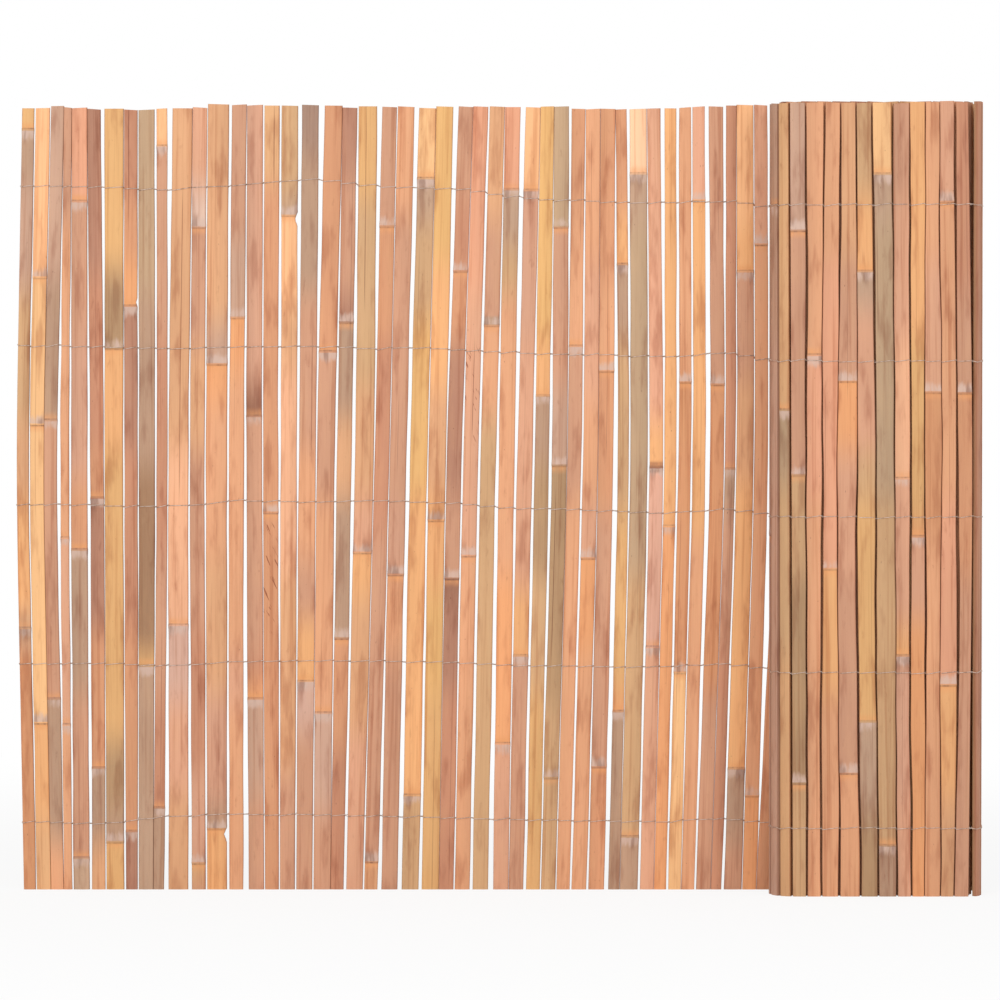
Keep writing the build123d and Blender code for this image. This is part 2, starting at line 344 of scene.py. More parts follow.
# How far the edges of the flat slats reach into their gaps: the last slat that it holds for,
# and the reach in millimetres at the foot and a metre above it
EDGE_REACHES = (
    (9, 0.95, 0.95),
    (23, 0.55, 0.55),
    (32, 0.75, 0.75),
    (46, 0.95, 0.3),
)

# Dark grooves and streaks that stand out: flat slat, place across it, top and bottom in millimetres
STREAKS = {
    8: (-2.5, 992, 850),
    11: (1.5, 878, 510),
    16: (3.0, 992, 897),
    21: (-2.0, 992, 751),
    29: (-8.0, 992, 900),
    27: (1.0, 690, 580),
    18: (5.0, 700, 560),
    32: (-4.0, 500, 300),
}

# Short slanting scratches: flat slat, top and bottom height in millimetres
SCRATCHES = {
    16: (470, 330),
    27: (690, 575),
}

# The grain as noise drawn out along the slat: waves in a metre along X, Y and Z, detail and roughness.
# Each slat reads it at another place.
GRAIN = {
    "fibre": ((1100, 1100, 12), 3, 0.55),
    "streaks": ((190, 190, 3.2), 4, 0.6),
    "clouds": ((70, 70, 13), 3, 0.55),
    "blotch": ((150, 150, 36), 4, 0.65),
    "specks": ((620, 620, 170), 1, 0.4),
}
DASHES = ((300, 300, 42), 2, 0.5)
WIRE_NOISE = ((300, 300, 300), 3, 0.6)
GRAIN_SHIFT = (0.173, 0.0911, 1.37)

# What the grain does to the colour: blend, noise, the values where it starts and is full, strength, tint
GRAIN_COATS = (
    ("MULTIPLY", "clouds", 0.5, 0.72, 0.75, (218, 198, 190)),
    ("SCREEN", "clouds", 0.5, 0.28, 0.6, (86, 58, 30)),
    ("MULTIPLY", "streaks", 0.5, 0.72, 0.55, (212, 180, 162)),
    ("MULTIPLY", "fibre", 0.5, 0.8, 0.26, (204, 180, 164)),
    ("SCREEN", "fibre", 0.5, 0.22, 0.26, (92, 72, 56)),
    ("MULTIPLY", "blotch", 0.6, 0.8, 0.4, (188, 154, 134)),
    ("SCREEN", "blotch", 0.42, 0.26, 0.4, (84, 64, 48)),
    ("MULTIPLY", "specks", 0.78, 0.84, 0.6, (124, 88, 68)),
)

# Ranges in the materials: a value from and to, and what it gives at each end
WARM_RANGE = (0.3, 0.6, 0.85, 0.45)
POWDER_RANGE = (0.3, 1.0, 0.0, 0.8)
BLOOM_RANGE = (0.0, 0.2, 0.0, 1.0)
STAIN_RANGE = (0.5, 0.62, 0.0, 0.6)
LIP_RANGE = (0.3, 0.55, 1.0, 0.45)
STREAK_RANGE = (0.0004, 0.0012, 0.85, 0.0)
# Painted shade at the edges: where it starts across the slat and how strong it gets
EDGE_SHADE_RANGE = (0.84, 1.0, 0.0, 0.6)
DASH_RANGE = (0.6, 0.68, 0.0, 0.75)
CANE_GLOSS = (0.3, 0.7, 0.5, 0.68)
WIRE_RANGE = (0.4, 0.7, 0.0, 1.0)
WIRE_GLOSS = (0.3, 0.7, 0.42, 0.62)

# Other values of the materials
BLOOM_RAGGED = 1.6
STREAK_RAGGED = 0.0009
CANE_SPECULAR = 0.35
FIBRE_BUMP = 0.6
STREAK_BUMP = 0.8
BUMP_STRENGTH = 0.22
BUMP_DISTANCE = 0.25 * MM
WIRE_METALLIC = 0.35

# Stage: the floor fades to white away from the object
FLOOR_HALF = 30
FLOOR_GREY = 0.86
FLOOR_ROUGHNESS = 0.9
FLOOR_FADE = (0.6, 2.6, 0.86, 1.0)
WORLD_LIGHT = 0.62

# Lamps: name, place, size and power
LIGHT_TARGET = (0.1, 0, 0.5)
LIGHTS = (
    ("key", (-1.0, -3.9, 3.3), 2.2, 84),
    ("fill", (2.6, -3.4, 2.0), 2.4, 30),
)

# Camera: the view's width is the picture's width at the flat run
SENSOR_WIDTH = 36
VIEW_DISTANCE = 7.5
VIEW_WIDTH = 1.2725
VIEW_TARGET = (0.0028, 0.048, 0.4966)
CAMERA_HEIGHT = 0.70


def linear(colour):
    """A colour written as it looks on a screen, as light."""
    out = []
    for value in colour:
        c = value / 255
        out.append(c / 12.92 if c <= 0.04045 else ((c + 0.055) / 1.055) ** 2.4)
    return Vector(out)


def smooth(low, high, value):
    """0 below low and 1 above high, with soft ends."""
    t = min(1.0, max(0.0, (value - low) / (high - low)))
    return t * t * (3 - 2 * t)


def window_at(z, top, bottom, fade):
    """1 between two heights in millimetres and 0 outside them, with soft ends."""
    height = z / MM
    return smooth(bottom - fade, bottom + fade, height) - smooth(top - fade, top + fade, height)


def wander(use, lane, z):
    """Noise about 0 by height, for one use and one slat or line."""
    waves, depth = NOISE[use]
    return noise.noise((lane, z * waves, depth))


def add_object(name, data):
    """A new object in the scene."""
    item = bpy.data.objects.new(name, data)
    scene.collection.objects.link(item)
    return item


class Slat:
    """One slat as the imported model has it."""

    def __init__(self, points):
        levels = {}
        for x, y, z in points:
            levels.setdefault(round(z, 5), []).append(Vector((x, y)))
        self.rings = []
        for z in sorted(levels):
            corners = levels[z]
            centre = sum(corners, Vector((0, 0))) / len(corners)
            corners.sort(key=lambda p: math.atan2(p.y - centre.y, p.x - centre.x))
            sides = list(zip(corners, corners[1:] + corners[:1]))
            start, end = max(sides, key=lambda side: (side[1] - side[0]).length)
            along = (end - start).normalized()
            self.out = Vector((-along.y, along.x))
            back = (start + end) / 2
            if (centre - back).dot(self.out) < 0:
                self.out = -self.out
            self.along = Vector((-self.out.y, self.out.x))
            self.rings.append((z, back + self.out * HALF_THICKNESS, (end - start).length / 2))
        self.length = self.rings[-1][0]
        self.half = min(half for _, _, half in self.rings)
        self.knuckles = []
        for below, here, above in zip(self.rings, self.rings[1:], self.rings[2:]):
            if here[2] > below[2] + KNUCKLE_SIGN and here[2] > above[2] + KNUCKLE_SIGN:
                grows = 1 if here[0] - below[0] < above[0] - here[0] else -1
                self.knuckles.append((here[0], grows))
        plain = [ring for ring in self.rings if ring[2] < self.half + PLAIN_SLACK]
        self.line = [(z, place) for z, place, _ in plain]

    def straight_at(self, z):
        """The middle of the slat at a height, with straight runs."""
        for (low, a), (high, b) in zip(self.line, self.line[1:]):
            if z <= high:
                return a + (b - a) * ((z - low) / (high - low))
        return self.line[-1][1]

    def middle_at(self, z):
        """The middle of the slat at a height, with its bend eased."""
        reach = min(BEND_REACH, z, self.length - z)
        if reach < LEAST_BEND:
            return self.straight_at(z)
        total = Vector((0, 0))
        for share in BEND_SHARES:
            total += self.straight_at(z + share * reach)
        return total / len(BEND_SHARES)


def read_slats(node):
    """The slats of one node, in the order in which they were written."""
    mesh = nodes[node].data
    keys = [tuple(round(c, 6) for c in vertex.co) for vertex in mesh.vertices]
    owner = {key: key for key in keys}

    def root(key):
        while owner[key] != key:
            owner[key] = owner[owner[key]]
            key = owner[key]
        return key

    for polygon in mesh.polygons:
        first = root(keys[polygon.vertices[0]])
        for index in polygon.vertices[1:]:
            owner[root(keys[index])] = first
    groups = {}
    for key in keys:
        groups.setdefault(root(key), {})[key] = None
    return [Slat(list(points)) for points in groups.values()]


def tone_list(text):
    """A line of the tables as tones and the heights at which they end."""
    words = text.split()
    tones = [linear(TONES[word]) for word in words[::2]]
    ends = [int(word) * MM for word in words[1::2]]
    return tones, ends


def tone_at(z, tones, ends, knuckles):
    """The colour at a height. It changes at once at a knuckle and slowly elsewhere."""
    colour = tones[0]
    for tone, end in zip(tones[1:], ends):
        near = min((abs(end - place) for place, _ in knuckles), default=math.inf)
        reach = TONE_STEP if near < KNUCKLE_NEAR else TONE_FADE
        colour = colour.lerp(tone, 1 - smooth(end - reach, end + reach, z))
    return colour


def knuckle_look(z, knuckles, strengths):
    """How strong a knuckle's pale bloom, its warm band on the root side and its dark line are."""
    bloom = glow = line = 0.0
    for (place, grows), strength in zip(knuckles, strengths):
        past = (z - place) * grows
        if past > 0:
            bloom = max(bloom, strength * (1 - smooth(*BLOOM_FADE, past)))
        elif past < -LIP_DROP:
            glow = max(glow, strength * (1 - smooth(*GLOW_FADE, -past)))
        line = max(line, strength * (1 - abs(past + LIP_DROP) / LIP_LINE))
    return bloom, glow, line


def knuckle_rise(z, knuckles):
    """How far a knuckle stands out at a height, up to 1, with a groove under its lip."""
    rise = 0.0
    for place, grows in knuckles:
        past = (z - place) * grows
        if -KNUCKLE_LIP < past <= 0:
            rise = max(rise, smooth(-KNUCKLE_LIP, 0, past))
        elif 0 < past < KNUCKLE_TAPER:
            rise = max(rise, 1 - smooth(0, KNUCKLE_TAPER, past))
        elif -KNUCKLE_LIP * GROOVE_REACH < past <= -KNUCKLE_LIP:
            rise = GROOVE_RISE
    return rise


def ring_heights(slat, step, tear):
    """The heights of a slat's rings: even steps, and closer ones at knuckles and at a tear."""
    heights = {0.0, FOOT_RING, slat.length - HEAD_RING, slat.length}
    count = int(slat.length / step)
    heights.update(slat.length * i / count for i in range(1, count))
    reach = int(KNUCKLE_REACH / KNUCKLE_STEP)
    for place, _ in slat.knuckles:
        heights.update(place + i * KNUCKLE_STEP for i in range(-reach, reach + 1))
    if tear:
        heights.update((tear[0] + i * TEAR_STEP) * MM for i in range(-TEAR_RINGS, TEAR_RINGS + 1))
    return sorted(h for h in heights if 0 <= h <= slat.length)


# Across the section: place from edge to edge, and whether it is on the back, the side or the crown
SECTION = (
    [(u, "back") for u in BACK_PLACES]
    + [(1.0, "low"), (1.0, "high")]
    + [(u, "crown") for u in CROWN_PLACES]
    + [(-1.0, "high"), (-1.0, "low")]
)

# What the material reads at each point, besides its tone and its place in the grain
LAYERS = ("edge", "streak", "window", "bloom", "glow", "line", "scratch")


class Builder:
    """Gathers slats into one mesh with their colours and grain."""

    def __init__(self):
        self.points = []
        self.faces = []
        self.cap_faces = []
        self.colours = []
        self.grain = []
        self.layers = {label: [] for label in LAYERS}

    def add(self, slat, text, seed, step, gain, edges, streak=None, tear=None, scratch=None):
        """Adds one slat with its tones as text, its brightness and the function that gives its edges."""
        rng = random.Random(seed)
        tones, ends = tone_list(text)
        strengths = [rng.uniform(*KNUCKLE_STRENGTH) for _ in slat.knuckles]
        crown = rng.uniform(*CROWN_RISE)
        power = rng.uniform(*CROWN_POWER)
        tilt = rng.uniform(-END_TILT, END_TILT) / 2
        lane = seed * SLAT_LANE
        shade = 1.0
        if streak is None:
            shade = rng.uniform(*STREAK_SHADE)
            place = rng.uniform(-STREAK_PLACE, STREAK_PLACE) * slat.half / MM
            top = rng.uniform(*STREAK_TOP)
            streak = (place, top, top - rng.uniform(*STREAK_LENGTH))
        # Painted shade across the slat, with a random strength and side
        painted_side_shade = rng.uniform(-SIDE_SHADE, SIDE_SHADE)
        heights = ring_heights(slat, step, tear)
        first = len(self.points)
        ring_size = len(SECTION)
        for z in heights:
            middle = slat.middle_at(z)
            rise = knuckle_rise(z, slat.knuckles) * KNUCKLE_RISE
            left, right = edges(z, KNUCKLE_BULGE * max(rise, 0))
            if tear:
                depth = tear[2] * MM * max(0.0, 1 - abs(z / MM - tear[0]) / tear[3])
                depth *= TEAR_DEPTH + TEAR_SWING * wander("tear", lane, z)
                left += depth if tear[1] < 0 else 0.0
                right += depth if tear[1] > 0 else 0.0
            face = FACE_WANDER * wander("face", lane, z)
            colour = tone_at(z, tones, ends, slat.knuckles) * gain
            colour = colour * (1 + TONE_SWING * wander("tone", lane, z))
            back_colour = colour.lerp(linear(STRAW), STRAW_SHARE)
            bloom, glow, line = knuckle_look(z, slat.knuckles, strengths)
            streaked = shade * max(0.0, window_at(z, *streak[1:], STREAK_FADE))
            scratched = window_at(z, *scratch, SCRATCH_FADE) if scratch else 0.0
            for u, zone in SECTION:
                side = slat.half - (right if u > 0 else left)
                if zone == "back":
                    v = -HALF_THICKNESS + BACK_HOLLOW * (1 - u * u)
                elif zone == "low":
                    v = -HALF_THICKNESS + LOW_ARRIS
                elif zone == "high":
                    v = HALF_THICKNESS - crown - HIGH_ARRIS + rise
                else:
                    v = HALF_THICKNESS - crown * abs(u) ** power + rise - abs(face)
                spot = middle + slat.along * (u * side) + slat.out * v
                sawn = tilt * u - abs(tilt) if z == slat.length else 0.0
                self.points.append((spot.x, spot.y, z + sawn))
                skin = 0.0 if zone in ("back", "low") else 1.0
                # Painted shade across the skin: one side a little darker than the other
                self.colours.append(colour * (1 + painted_side_shade * u) if skin else back_colour)
                place = (u * side, v, z)
                self.grain.append(tuple(c + seed * shift for c, shift in zip(place, GRAIN_SHIFT)))
                # Painted shade at the edges: darker towards each edge, less at the left one, which faces the
                # light
                edge_shade = abs(u) if u > 0 else LEFT_EDGE_SHADE * abs(u)
                values = (
                    BACK_EDGE_SHADE * abs(u) if zone == "back" else edge_shade,
                    u * side - streak[0] * MM,
                    streaked if zone == "crown" else 0.0,
                    bloom * skin,
                    glow * skin,
                    max(0.0, line) * skin,
                    scratched * skin,
                )
                for label, value in zip(LAYERS, values):
                    self.layers[label].append(value)
        for ring in range(len(heights) - 1):
            low = first + ring * ring_size
            for i in range(ring_size):
                j = (i + 1) % ring_size
                self.faces.append((low + i, low + j, low + ring_size + j, low + ring_size + i))
        self.cap_faces.append(len(self.faces))
        self.faces.append(tuple(first + i for i in reversed(range(ring_size))))
        self.cap_faces.append(len(self.faces))
        self.faces.append(tuple(len(self.points) - ring_size + i for i in range(ring_size)))

    def make(self, name, material):
        """The slats as one object."""
        mesh = bpy.data.meshes.new(name)
        mesh.from_pydata(self.points, [], self.faces)
        mesh.polygons.foreach_set("use_smooth", [True] * len(mesh.polygons))
        mesh.set_sharp_from_angle(angle=math.radians(SHARP_ANGLE))
        tone = mesh.attributes.new("tone", "FLOAT_COLOR", "CORNER")
        corners = [tuple(self.colours[loop.vertex_index]) + (1.0,) for loop in mesh.loops]
        sawn = tuple(linear(SAWN)) + (1.0,)
        for face in self.cap_faces:
            for loop in mesh.polygons[face].loop_indices:
                corners[loop] = sawn
        tone.data.foreach_set("color", [c for corner in corners for c in corner])
        grain = mesh.attributes.new("grain", "FLOAT_VECTOR", "POINT")
        grain.data.foreach_set("vector", [c for place in self.grain for c in place])
        for label, values in self.layers.items():
            mesh.attributes.new(label, "FLOAT", "POINT").data.foreach_set("value", values)
        mesh.materials.append(material)
        return add_object(name, mesh)


def new_material(name):
    """A new material, its node tree and its shader."""
    material = bpy.data.materials.new(name)
    material.use_nodes = True
    tree = material.node_tree
    return material, tree, tree.nodes["Principled BSDF"]


def link(tree, source, target):
    """Joins two sockets."""
    tree.links.new(source, target)


def attribute(tree, name, output="Fac"):
    """What the mesh says at each point."""
    node = tree.nodes.new("ShaderNodeAttribute")
    node.attribute_name = name
    return node.outputs[output]


def stretched_noise(tree, vector, scale, detail, roughness):
    """Noise that is drawn out along the slat."""
    stretch = tree.nodes.new("ShaderNodeVectorMath")
    stretch.operation = "MULTIPLY"
    stretch.inputs[1].default_value = scale
    link(tree, vector, stretch.inputs[0])
    node = tree.nodes.new("ShaderNodeTexNoise")
    node.inputs["Scale"].default_value = 1.0
    node.inputs["Detail"].default_value = detail
    node.inputs["Roughness"].default_value = roughness
    link(tree, stretch.outputs[0], node.inputs["Vector"])
    return node.outputs["Fac"]


def remap(tree, value, low, high, to_low, to_high):
    """Turns a range of values into another, with soft ends."""
    node = tree.nodes.new("ShaderNodeMapRange")
    node.interpolation_type = "SMOOTHSTEP"
    node.inputs["From Min"].default_value = low
    node.inputs["From Max"].default_value = high
    node.inputs["To Min"].default_value = to_low
    node.inputs["To Max"].default_value = to_high
    link(tree, value, node.inputs["Value"])
    return node.outputs["Result"]


def math_node(tree, operation, a, b):
    """Joins two values, each a socket or a number, by one operation."""
    node = tree.nodes.new("ShaderNodeMath")
    node.operation = operation
    for socket, value in zip(node.inputs, (a, b)):
        if isinstance(value, (int, float)):
            socket.default_value = value
        else:
            link(tree, value, socket)
    return node.outputs[0]


def mix(tree, blend, factor, a, b):
    """Mixes two colours. A factor or colour may be a socket or a value."""
    node = tree.nodes.new("ShaderNodeMix")
    node.data_type = "RGBA"
    node.blend_type = blend
    for socket, value in ((node.inputs[0], factor), (node.inputs[6], a), (node.inputs[7], b)):
        if isinstance(value, bpy.types.NodeSocket):
            link(tree, value, socket)
        elif isinstance(value, (int, float)):
            socket.default_value = value
        else:
            socket.default_value = tuple(linear(value)) + (1.0,)
    return node.outputs[2]


def bamboo_material():
    """Split cane: each slat's own tones under grain, knuckles, streaks, painted shade at the edges and
    scratches.
    """
    material, tree, shader = new_material("split_bamboo")
    place = attribute(tree, "grain", "Vector")
    colour = attribute(tree, "tone", "Color")
    layer = {label: attribute(tree, label) for label in LAYERS}
    grain = {label: stretched_noise(tree, place, *values) for label, values in GRAIN.items()}
    slanted = tree.nodes.new("ShaderNodeVectorRotate")
    slanted.rotation_type = "Y_AXIS"
    slanted.inputs["Angle"].default_value = math.radians(SCRATCH_SLANT)
    link(tree, place, slanted.inputs["Vector"])
    dashes = stretched_noise(tree, slanted.outputs[0], *DASHES)

    for blend, label, start, full, strength, tint in GRAIN_COATS:
        share = remap(tree, grain[label], start, full, 0.0, strength)
        colour = mix(tree, blend, share, colour, tint)

    warm = math_node(tree, "MULTIPLY", layer["glow"], remap(tree, grain["blotch"], *WARM_RANGE))
    colour = mix(tree, "MIX", warm, colour, KNUCKLE_GLOW)
    ragged = math_node(tree, "SUBTRACT", grain["blotch"], 0.5)
    ragged = math_node(tree, "MULTIPLY", ragged, BLOOM_RAGGED)
    ragged = math_node(tree, "ADD", layer["bloom"], ragged)
    powder = remap(tree, ragged, *POWDER_RANGE)
    powder = math_node(tree, "MULTIPLY", powder, remap(tree, layer["bloom"], *BLOOM_RANGE))
    colour = mix(tree, "MIX", powder, colour, KNUCKLE_BLOOM)
    stain = math_node(tree, "MULTIPLY", layer["bloom"], remap(tree, grain["clouds"], *STAIN_RANGE))
    colour = mix(tree, "MULTIPLY", stain, colour, KNUCKLE_STAIN)
    groove = math_node(tree, "MULTIPLY", layer["line"], remap(tree, grain["streaks"], *LIP_RANGE))
    colour = mix(tree, "MIX", groove, colour, KNUCKLE_LINE)

    distance = math_node(tree, "ABSOLUTE", layer["streak"], 0.0)
    distance = math_node(tree, "ADD", distance, math_node(tree, "MULTIPLY", grain["streaks"], STREAK_RAGGED))
    streak = math_node(tree, "MULTIPLY", remap(tree, distance, *STREAK_RANGE), layer["window"])
    colour = mix(tree, "MULTIPLY", streak, colour, STREAK_TINT)
    # Painted shade: each slat darkens towards its edges, where its crown turns from the light, less at the
    # left edge
    colour = mix(tree, "MULTIPLY", remap(tree, layer["edge"], *EDGE_SHADE_RANGE), colour, EDGE_SHADE_TINT)
    mark = math_node(tree, "MULTIPLY", remap(tree, dashes, *DASH_RANGE), layer["scratch"])
    colour = mix(tree, "MULTIPLY", mark, colour, SCRATCH_TINT)
    link(tree, colour, shader.inputs["Base Color"])
    link(tree, remap(tree, grain["streaks"], *CANE_GLOSS), shader.inputs["Roughness"])
    shader.inputs["Specular IOR Level"].default_value = CANE_SPECULAR

    fine = math_node(tree, "MULTIPLY", grain["fibre"], FIBRE_BUMP)
    coarse = math_node(tree, "MULTIPLY", grain["streaks"], STREAK_BUMP)
    height = math_node(tree, "ADD", fine, coarse)
    height = math_node(tree, "SUBTRACT", height, streak)
    bump = tree.nodes.new("ShaderNodeBump")
    bump.inputs["Strength"].default_value = BUMP_STRENGTH
    bump.inputs["Distance"].default_value = BUMP_DISTANCE
    link(tree, height, bump.inputs["Height"])
    link(tree, bump.outputs["Normal"], shader.inputs["Normal"])
    return material


def wire_material():
    """Galvanised wire, dull in places."""
    material, tree, shader = new_material("galvanised_wire")
    place = tree.nodes.new("ShaderNodeTexCoord").outputs["Object"]
    dull = stretched_noise(tree, place, *WIRE_NOISE)
    colour = mix(tree, "MIX", remap(tree, dull, *WIRE_RANGE), WIRE_BRIGHT, WIRE_DULL)
    link(tree, colour, shader.inputs["Base Color"])
    link(tree, remap(tree, dull, *WIRE_GLOSS), shader.inputs["Roughness"])
    shader.inputs["Metallic"].default_value = WIRE_METALLIC
    return material


bamboo = bamboo_material()
wire = wire_material()


def gap_between(left, right, z):
    """The clear width between two neighbours at a height, along the first."""
    way = right.middle_at(z) - left.middle_at(z)
    return abs(way.dot(left.along)) - left.half - right.half


def flat_edges(index):
    """How far the edges of a slat of the flat run draw in, by height. Slats that lie close nearly meet."""
    at_foot, higher = next(reaches[1:] for reaches in EDGE_REACHES if index < reaches[0])

    def edges(z, bulge):
        sides = []
        edge_reach = (at_foot + (higher - at_foot) * z) * MM
        for near, use in ((index - 1, "left_edge"), (index + 1, "right_edge")):
            room = FREE_EDGE_ROOM
            loose = 1.0
            if 0 <= near < len(flat_slats):
                room = max(0.0, gap_between(flat_slats[index], flat_slats[near], z))
                loose = smooth(*TIGHT_GAP, room)
            stray = loose * min(EDGE_WANDER, WANDER_SHARE * room) * wander(use, index * SLAT_LANE, z)
            reach = loose * min(edge_reach, REACH_SHARE * room) + (1 - loose) * TIGHT_SHARE * room
            opening = FOOT_GAPS.get(min(index, near) + 1, 0.0) * MM * (1 - smooth(*FOOT_GAP_ENDS, z))
            sides.append(max(stray - reach - bulge, -MOST_SHARE * room) + opening / 2)
        return sides

    return edges


def roll_edges(slats, index):
    """The same in the roll. Neighbours share the wandering line between them, so no gap closes."""

    def edges(z, bulge):
        sides = {-1: 0.0, 1: 0.0}
        slat = slats[index]
        for near in (index - 1, index + 1):
            if not 0 <= near < len(slats) or slat.out.dot(slats[near].out) < SAME_FACE:
                continue
            way = (slats[near].middle_at(z) - slat.middle_at(z)).dot(slat.along)
            lane = min(index, near) * ROLL_LANE
            shift = wander("roll_line", lane, z) + ROLL_RIPPLE * wander("roll_ripple", lane, z)
            width = ROLL_GAP + ROLL_GAP_SPREAD * wander("roll_gap", lane, z)
            width = max(ROLL_GAP_LEAST, width)
            inset = (width - gap_between(slat, slats[near], z)) / 2
            inset += ROLL_LINE_WANDER * shift * (1 if near < index else -1)
            sides[1 if way > 0 else -1] = inset
        return sides[-1] - bulge, sides[1] - bulge

    return edges


flat_slats = []
for number in range(1, len(FLAT_TONES) + 1):
    flat_slats += read_slats(f"slat_{number:02d}")
for number, text in enumerate(FLAT_TONES, 1):
    node = f"slat_{number:02d}"
    builder = Builder()
    slat = flat_slats[number - 1]
    marks = (STREAKS.get(number), TEARS.get(number), SCRATCHES.get(number))
    builder.add(slat, text, number, RING_STEP, FLAT_GAIN, flat_edges(number - 1), *marks)
    piece = builder.make(f"split_{node}", bamboo)
    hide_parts(node)
    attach(piece, "root")

roll_slats = []
for turn in range(1, ROLL_TURNS + 1):
    node = f"roll_turn_{turn}"
    slats = read_slats(node)
    roll_slats += slats
    texts = {}
    if turn == 1:
        front = [s for s in slats if s.out.y < FRONT_FACE]
        front.sort(key=lambda s: -s.middle_at(MID_HEIGHT).x)
        texts = {id(s): LEFT_BEND_TONES for s in slats if s.out.x < LEFT_FACE and s not in front}
        texts.update((id(s), text) for s, text in zip(front, FRONT_TONES))
    builder = Builder()
    for count, slat in enumerate(slats):
        seed = SEEDS_PER_TURN * turn + count
        text = texts.get(id(slat)) or random.Random(seed).choice(PLAIN_TONES)
        step = RING_STEP if turn == 1 else HIDDEN_RING_STEP
        builder.add(slat, text, seed, step, ROLL_GAIN, roll_edges(slats, count))
    piece = builder.make(f"split_{node}", bamboo)
    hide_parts(node)
    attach(piece, "root")


def wire_heights(node):
    """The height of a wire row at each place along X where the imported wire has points."""
    levels = {}
    for vertex in nodes[node].data.vertices:
        levels.setdefault(round(vertex.co.x, 4), []).append(vertex.co.z)
    return [(x, (min(z) + max(z)) / 2) for x, z in sorted(levels.items())]


def height_at(line, x):
    """The height of a wire row at any place along X."""
    for (x0, z0), (x1, z1) in zip(line, line[1:]):
        if x <= x1:
            return z0 + (z1 - z0) * max(0.0, x - x0) / (x1 - x0)
    return line[-1][1]


def strand_points(line, side, seed):
    """One strand of a row, from the free edge to the inner end of the roll, on one side of the mat."""
    points = []
    stops = []
    for slat, in_roll in [(s, False) for s in flat_slats] + [(s, True) for s in roll_slats]:
        z = height_at(line, slat.middle_at(MID_HEIGHT).x)
        normal = slat.out if in_roll else -slat.out
        travel = Vector((normal.y, -normal.x))
        stops.append((slat, slat.middle_at(z), normal, travel, z))
    strays = []
    for index in range(len(stops) + 1):
        stray = noise.noise((index * STRAND_WAVES, seed * STRAND_LANE, STRAND_DEPTH))
        strays.append(STRAND_WANDER * stray)
    for index, (slat, middle, normal, travel, z) in enumerate(stops):
        crown = slat.out.dot(normal) * side > 0
        high = HALF_THICKNESS + STRAND_RADIUS
        low = high - (EDGE_DIP if crown else 0.0)
        edge = slat.half + EDGE_CLEAR
        start_z = z + strays[index] + side * STRAND_SLANT
        end_z = z + strays[index + 1] - side * STRAND_SLANT
        for share, off in ((0.0, low), (0.25, high), (0.75, high), (1.0, low)):
            spot = middle + travel * (edge * (2 * share - 1)) + normal * (side * off)
            points.append(Vector((spot.x, spot.y, start_z + (end_z - start_z) * share)))
        if index + 1 == len(stops):
            break
        after, next_middle, _, next_travel, next_z = stops[index + 1]
        a = middle + travel * slat.half
        b = next_middle - next_travel * after.half
        if (b - a).length < TWIST_GAP or travel.dot(next_travel) < SAME_WAY:
            continue
        start, end = TWIST_SHARES[0], TWIST_SHARES[-1]
        for share in TWIST_SHARES:
            angle = side * math.pi / 2 + 2 * math.pi * (share - start) / (end - start)
            spot = a.lerp(b, share) + normal * (TWIST_RADIUS * math.sin(angle))
            level = z + (next_z - z) * share + strays[index + 1]
            points.append(Vector((spot.x, spot.y, level + TWIST_RADIUS * math.cos(angle))))
    return points


def tube(path):
    """The points and faces of a round strand along a path."""
    points = []
    faces = []
    for index, spot in enumerate(path):
        before = path[max(index - 1, 0)]
        after = path[min(index + 1, len(path) - 1)]
        heading = (after - before).normalized()
        level = Vector((-heading.y, heading.x, 0))
        level = level.normalized() if level.length > 1e-6 else Vector((1, 0, 0))
        up = heading.cross(level)
        for i in range(STRAND_SIDES):
            angle = 2 * math.pi * i / STRAND_SIDES
            points.append(spot + (level * math.cos(angle) + up * math.sin(angle)) * STRAND_RADIUS)
    for ring in range(len(path) - 1):
        low = ring * STRAND_SIDES
        for i in range(STRAND_SIDES):
            j = (i + 1) % STRAND_SIDES
            faces.append((low + i, low + j, low + STRAND_SIDES + j, low + STRAND_SIDES + i))
    faces.append(tuple(reversed(range(STRAND_SIDES))))
    faces.append(tuple(len(points) - STRAND_SIDES + i for i in range(STRAND_SIDES)))
    return points, faces


for row in range(1, WIRE_ROWS + 1):
    node = f"tie_wire_{row}"
    line = wire_heights(node)
    inside = strand_points(line, -1, row)
    outside = strand_points(line, 1, row)
    turn_back = inside[0].lerp(outside[0], 0.5) + Vector((-STRAND_RADIUS * TURN_BACK, 0, 0))
    points, faces = tube(list(reversed(inside)) + [turn_back] + outside)
    mesh = bpy.data.meshes.new(f"twisted_{node}")
    mesh.from_pydata(points, [], faces)
    mesh.polygons.foreach_set("use_smooth", [True] * len(mesh.polygons))
    mesh.materials.append(wire)
    piece = add_object(f"twisted_{node}", mesh)
    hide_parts(node)
    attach(piece, "root")


# Stage, light and camera
def emission_for_camera(tree, surface, share):
    """Lets the camera see white over part of a surface's own look."""
    path = tree.nodes.new("ShaderNodeLightPath")
    seen = math_node(tree, "MAXIMUM", path.outputs["Is Camera Ray"], path.outputs["Is Glossy Ray"])
    seen = math_node(tree, "MAXIMUM", seen, path.outputs["Is Transmission Ray"])
    white = tree.nodes.new("ShaderNodeEmission")
    white.inputs["Strength"].default_value = 1.0
    blend = tree.nodes.new("ShaderNodeMixShader")
    link(tree, math_node(tree, "MULTIPLY", seen, share), blend.inputs["Fac"])
    link(tree, surface, blend.inputs[1])
    link(tree, white.outputs[0], blend.inputs[2])
    return blend.outputs[0]


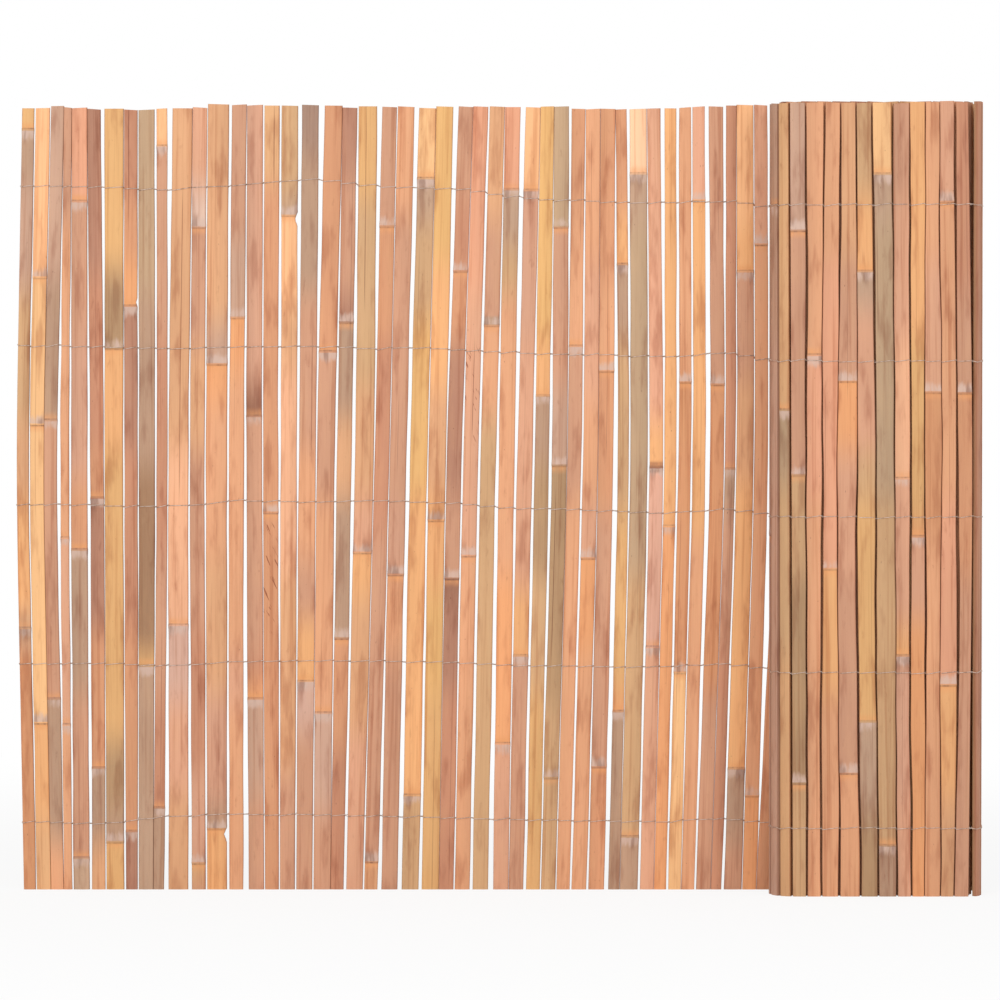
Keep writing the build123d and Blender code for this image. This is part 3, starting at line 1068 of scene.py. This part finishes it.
mesh = bpy.data.meshes.new("floor")
corners = [(x * FLOOR_HALF, y * FLOOR_HALF, 0) for x, y in ((-1, -1), (1, -1), (1, 1), (-1, 1))]
mesh.from_pydata(corners, [], [(0, 1, 2, 3)])
floor = add_object("floor", mesh)
material, tree, shader = new_material("pale_floor")
shader.inputs["Base Color"].default_value = (FLOOR_GREY, FLOOR_GREY, FLOOR_GREY, 1)
shader.inputs["Roughness"].default_value = FLOOR_ROUGHNESS
shader.inputs["Specular IOR Level"].default_value = 0.0
place = tree.nodes.new("ShaderNodeNewGeometry").outputs["Position"]
far = tree.nodes.new("ShaderNodeVectorMath")
far.operation = "LENGTH"
link(tree, place, far.inputs[0])
fade = remap(tree, far.outputs["Value"], *FLOOR_FADE)
seen = emission_for_camera(tree, shader.outputs[0], fade)
link(tree, seen, tree.nodes["Material Output"].inputs["Surface"])
mesh.materials.append(material)

world = bpy.data.worlds.new("studio")
world.use_nodes = True
scene.world = world
tree = world.node_tree
background = tree.nodes["Background"]
background.inputs["Color"].default_value = (1, 1, 1, 1)
background.inputs["Strength"].default_value = WORLD_LIGHT
seen = emission_for_camera(tree, background.outputs[0], 1.0)
link(tree, seen, tree.nodes["World Output"].inputs["Surface"])


def aim(item, place, target):
    """Puts a lamp or the camera at a place and turns it to a target."""
    item.location = place
    item.rotation_euler = (Vector(target) - Vector(place)).to_track_quat("-Z", "Y").to_euler()


for name, place, size, power in LIGHTS:
    light = bpy.data.lights.new(name, "AREA")
    light.shape = "DISK"
    light.size = size
    light.energy = power
    aim(add_object(name, light), place, LIGHT_TARGET)

camera_data = bpy.data.cameras.new("camera")
camera_data.sensor_width = SENSOR_WIDTH
camera_data.lens = SENSOR_WIDTH * VIEW_DISTANCE / VIEW_WIDTH
camera = add_object("camera", camera_data)
aim(camera, (VIEW_TARGET[0], VIEW_TARGET[1] - VIEW_DISTANCE, CAMERA_HEIGHT), VIEW_TARGET)
scene.camera = camera
scene.view_settings.view_transform = "Standard"
